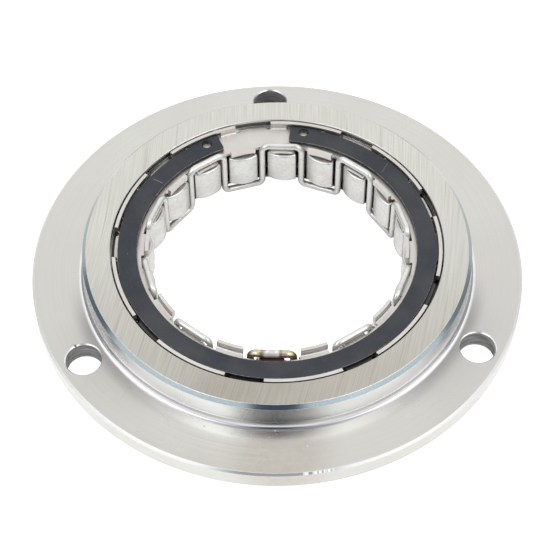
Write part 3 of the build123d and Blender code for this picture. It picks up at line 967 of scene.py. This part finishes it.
def bright_wire():
    """The spring: bright drawn wire, with straw and brown heat tint on either side of its weld, and a painted
    dark reflection under the loop at the weld.
    """
    surface = Finish("bright wire")
    clouds = surface.clouds(300.0)
    away = surface.away(*WELD_POINT)
    uneven = surface.math("ADD", away, surface.product(clouds, 0.8))
    straw = surface.band(uneven, 2.5, 6.8, 0.6)
    brown = surface.band(uneven, 2.2, 2.5, 0.4)
    corners = surface.band(uneven, 5.6, 7.0, 0.8)
    # Painted reflection: the wire's underside near the weld dark brown, for the brown tab under it
    below = surface.product(surface.fall(away, 6.0, 7.0), surface.ramp(surface.z, 13.4, 14.2, 0.85, 0.0))
    color = surface.blend(clouds, (0.79, 0.785, 0.75, 1), (0.86, 0.855, 0.82, 1))
    color = surface.over(color, surface.fall(away, 1.8, 2.4), (0.95, 0.94, 0.93, 1))
    color = surface.over(color, straw, (0.60, 0.52, 0.36, 1))
    color = surface.over(color, brown, (0.30, 0.17, 0.13, 1), 0.65)
    color = surface.over(color, corners, (0.24, 0.17, 0.10, 1), 0.8)
    color = surface.over(color, below, (0.22, 0.14, 0.10, 1))
    seam = surface.product(surface.fall(away, 1.05, 1.2), surface.ramp(clouds, 0.2, 0.8, 0.1, 0.5))
    color = surface.over(color, seam, (0.66, 0.56, 0.48, 1))
    tinted = surface.math("MAXIMUM", straw, surface.math("MAXIMUM", corners, below))
    roughness = surface.math("ADD", 0.26, surface.product(clouds, 0.1))
    return surface.finish(color, roughness, surface.noise(2400.0, 2.0), strength=0.06, depth=0.01,
                          metallic=surface.ramp(tinted, 0.0, 1.0, 0.5, 0.95))


def tumbled_steel():
    """The sprags: hardened and tumbled, speckled and pitted, with brighter rubbed edges."""
    surface = Finish("tumbled steel")
    grain = surface.noise(3000.0)
    color = surface.blend(surface.clouds(260.0), (0.60, 0.595, 0.575, 1), (0.68, 0.68, 0.66, 1))
    color = surface.over(color, surface.specks(650.0, 0.09, 0.10), (0.30, 0.29, 0.27, 1), 0.6)
    speckle = surface.ramp(surface.noise(1500.0, 4.0), 0.45, 0.7, 0.0, 0.5)
    color = surface.over(color, speckle, (0.50, 0.495, 0.48, 1))
    color = surface.over(color, surface.worn_edge(), (0.76, 0.76, 0.74, 1), 0.35)
    roughness = surface.math("ADD", 0.3, surface.product(grain, 0.16))
    return surface.finish(color, roughness, grain, strength=0.3, depth=0.012)


# Pieces on their bodies
def dress(made, body, slot, material, *nodes):
    """Gives a piece its finish, sets it on its body and lets it stand for its CAD nodes."""
    made.data.materials.clear()
    made.data.materials.append(material)
    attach(made, body)
    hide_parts(*nodes)


dress(make_outer_race(), "outer_race", "machined_steel", turned_steel(), "outer_race")
dress(make_cage(), "sprag_unit", "cage_sheet", pressed_sheet(), "sprag_cage")
ring_plate = make_plate("snap_ring_plate", "snap_ring", SNAP_RING_EDGE * MM)
dress(ring_plate, "sprag_unit", "black_spring_steel", blackened_steel(), "snap_ring")
wire_steel = bright_wire()
dress(make_spring(wire_steel), "sprag_unit", "spring_wire", wire_steel, "energizing_spring")
sprag_steel = tumbled_steel()
for number in range(1, SPRAG_COUNT + 1):
    node = f"sprag_{number:02d}"
    cams = make_plate(f"{node}_cams", node, SPRAG_EDGE * MM, chamfered=True)
    dress(cams, node, "sprag_steel", sprag_steel, node)


# Floor, background and light
FLOOR_DROP, FLOOR_HALF = 0.2, 4000.0
FLOOR_GREY = (0.85, 0.85, 0.85, 1)
FLOOR_GLOW, BORE_GLOW, ROOM_GLOW, ROOM_LIGHT = 0.9, 0.70, 0.95, 0.55
LAMP_PLACE, LAMP_SIZE, LAMP_POWER = (0.0, 0.5, 1.4), 1.2, 4.0
WHITE = (1, 1, 1, 1)


def around(azimuth, elevation, distance):
    """A place round the object, by its angles in degrees and its distance in metres."""
    a, e = radians(azimuth), radians(elevation)
    return Vector((cos(a) * cos(e), sin(a) * cos(e), sin(e))) * distance


# Name, place, width and height in metres, colour, how far it dims, and its own light
CARDS = (
    ("camera's dark side", around(-92.5, 46, 0.60), 0.31, 1.05, (0.07, 0.09, 0.13), 1.0, 0.0),
    ("left lamp", around(-148, 52, 1.20), 1.30, 1.00, (1.0, 1.0, 1.0), 0.0, 1.9),
    ("right lamp", around(-35, 52, 1.20), 1.30, 1.00, (1.0, 1.0, 1.0), 0.0, 1.9),
    ("back lamp", around(90, 42, 1.10), 1.60, 0.60, (1.0, 1.0, 0.98), 0.0, 0.3),
    ("top lamp", around(90, 72, 1.00), 0.60, 0.40, (1.0, 1.0, 1.0), 0.0, 0.8),
    ("dark room left", around(160, 9, 0.90), 0.95, 0.50, (0.10, 0.12, 0.14), 0.9, 0.0),
    ("dark room right", around(17, 9, 0.90), 0.95, 0.50, (0.12, 0.14, 0.16), 0.8, 0.0),
    ("warm ceiling", around(90, 60, 0.80), 0.24, 0.20, (0.50, 0.43, 0.37), 0.85, 0.0))


def flat_object(name, half_width, half_height):
    """A level rectangle round its own middle."""
    mesh = bpy.data.meshes.new(name)
    w, h = half_width, half_height
    mesh.from_pydata([(-w, -h, 0), (w, -h, 0), (w, h, 0), (-w, h, 0)], [], [(0, 1, 2, 3)])
    made = bpy.data.objects.new(name, mesh)
    scene.collection.objects.link(made)
    return made


def empty_tree(owner):
    """A builder on the cleared node tree of a material or world."""
    owner.use_nodes = True
    owner.node_tree.nodes.clear()
    return Builder(owner.node_tree)


def turn_to_middle(thing):
    """Points an object's Z straight away from the middle of the scene, so that a lamp shines inwards."""
    thing.rotation_mode = "QUATERNION"
    thing.rotation_quaternion = Vector(thing.location).to_track_quat("Z", "Y")


def soft_card(name, place, width, height, color, depth, strength):
    """A card that only reflections see: it dims them softly by its depth, or adds light of its own."""
    card = flat_object(name, width / 2, height / 2)
    card.location = place
    turn_to_middle(card)
    card.visible_camera = card.visible_diffuse = card.visible_shadow = False
    material = bpy.data.materials.new(name)
    build = empty_tree(material)
    here = build.node("ShaderNodeTexCoord").outputs["Object"]
    spot = build.node("ShaderNodeSeparateXYZ", Vector=here).outputs
    out = 0.0
    for axis, half in (("X", width / 2), ("Y", height / 2)):
        share = build.math("ABSOLUTE", build.math("DIVIDE", spot[axis], half))
        out = build.math("ADD", out, build.math("POWER", share, 2.5))
    mask = build.ramp(out, 0.2, 1.0, 1.0, 0.0)
    clear = build.node("ShaderNodeBsdfTransparent").outputs[0]
    if strength:
        light = build.node("ShaderNodeEmission", Color=(*color, 1), Strength=build.product(mask, strength))
        last = build.node("ShaderNodeAddShader", i0=clear, i1=light.outputs[0])
    else:
        dark = build.node("ShaderNodeEmission", Color=(*color, 1), Strength=1.0)
        last = build.node("ShaderNodeMixShader", i0=build.product(mask, depth), i1=clear, i2=dark.outputs[0])
    build.node("ShaderNodeOutputMaterial", Surface=last.outputs[0])
    card.data.materials.append(material)


def seen_directly(build, rays):
    """1 for what the camera sees itself, or through something clear."""
    return build.math("MAXIMUM", rays["Is Camera Ray"], rays["Is Transmission Ray"])


def set_floor():
    """A floor that looks white, keeps the object's shadow and glows softly in the metal around it."""
    floor = flat_object("floor", FLOOR_HALF * MM, FLOOR_HALF * MM)
    floor.location.z = -FLOOR_DROP * MM
    material = bpy.data.materials.new("white floor")
    build = empty_tree(material)
    rays = build.node("ShaderNodeLightPath").outputs
    here = build.node("ShaderNodeTexCoord").outputs["Object"]
    spot = build.node("ShaderNodeSeparateXYZ", Vector=here).outputs
    reach = build.math("DIVIDE", build.reach(spot["X"], spot["Y"]), MM)
    beside = build.product(build.ramp(reach, FLANGE_R - 0.2, FLANGE_R + 0.6, 0.0, FLOOR_GLOW),
                           build.ramp(reach, 60.0, 100.0, 1.0, 0.25))
    inside = build.ramp(reach, 26.0, 31.0, BORE_GLOW, 0.0)
    # Under the race the floor stays dark, so that no white shows through the gap round the cage
    covered = build.product(build.ramp(reach, 34.0, 35.0), build.ramp(reach, 41.5, 42.0, 1.0, 0.0))
    seen = build.product(seen_directly(build, rays), build.math("SUBTRACT", 1.0, covered))
    glossy = build.product(rays["Is Glossy Ray"], build.math("ADD", beside, inside))
    lit = build.node("ShaderNodeBsdfDiffuse", Color=FLOOR_GREY)
    glow = build.node("ShaderNodeEmission", Color=WHITE, Strength=build.math("MAXIMUM", seen, glossy))
    both = build.node("ShaderNodeAddShader", i0=lit.outputs[0], i1=glow.outputs[0])
    build.node("ShaderNodeOutputMaterial", Surface=both.outputs[0])
    floor.data.materials.append(material)


def set_room():
    """A room that looks white and lights the object at a plain level."""
    world = bpy.data.worlds.new("studio")
    scene.world = world
    build = empty_tree(world)
    rays = build.node("ShaderNodeLightPath").outputs
    mirrored = build.product(rays["Is Glossy Ray"], ROOM_GLOW)
    strength = build.math("MAXIMUM", seen_directly(build, rays), mirrored)
    strength = build.math("MAXIMUM", strength, ROOM_LIGHT)
    sky = build.node("ShaderNodeBackground", Color=WHITE, Strength=strength)
    build.node("ShaderNodeOutputWorld", Surface=sky.outputs[0])


def set_lamp():
    """A soft lamp above, which the metal itself doesn't mirror."""
    data = bpy.data.lights.new("soft lamp", "AREA")
    data.shape, data.size, data.energy = "SQUARE", LAMP_SIZE, LAMP_POWER
    lamp = bpy.data.objects.new("soft lamp", data)
    lamp.location = LAMP_PLACE
    turn_to_middle(lamp)
    lamp.visible_glossy = False
    scene.collection.objects.link(lamp)


set_floor()
set_room()
set_lamp()
for card in CARDS:
    soft_card(*card)
scene.view_settings.view_transform = "Standard"
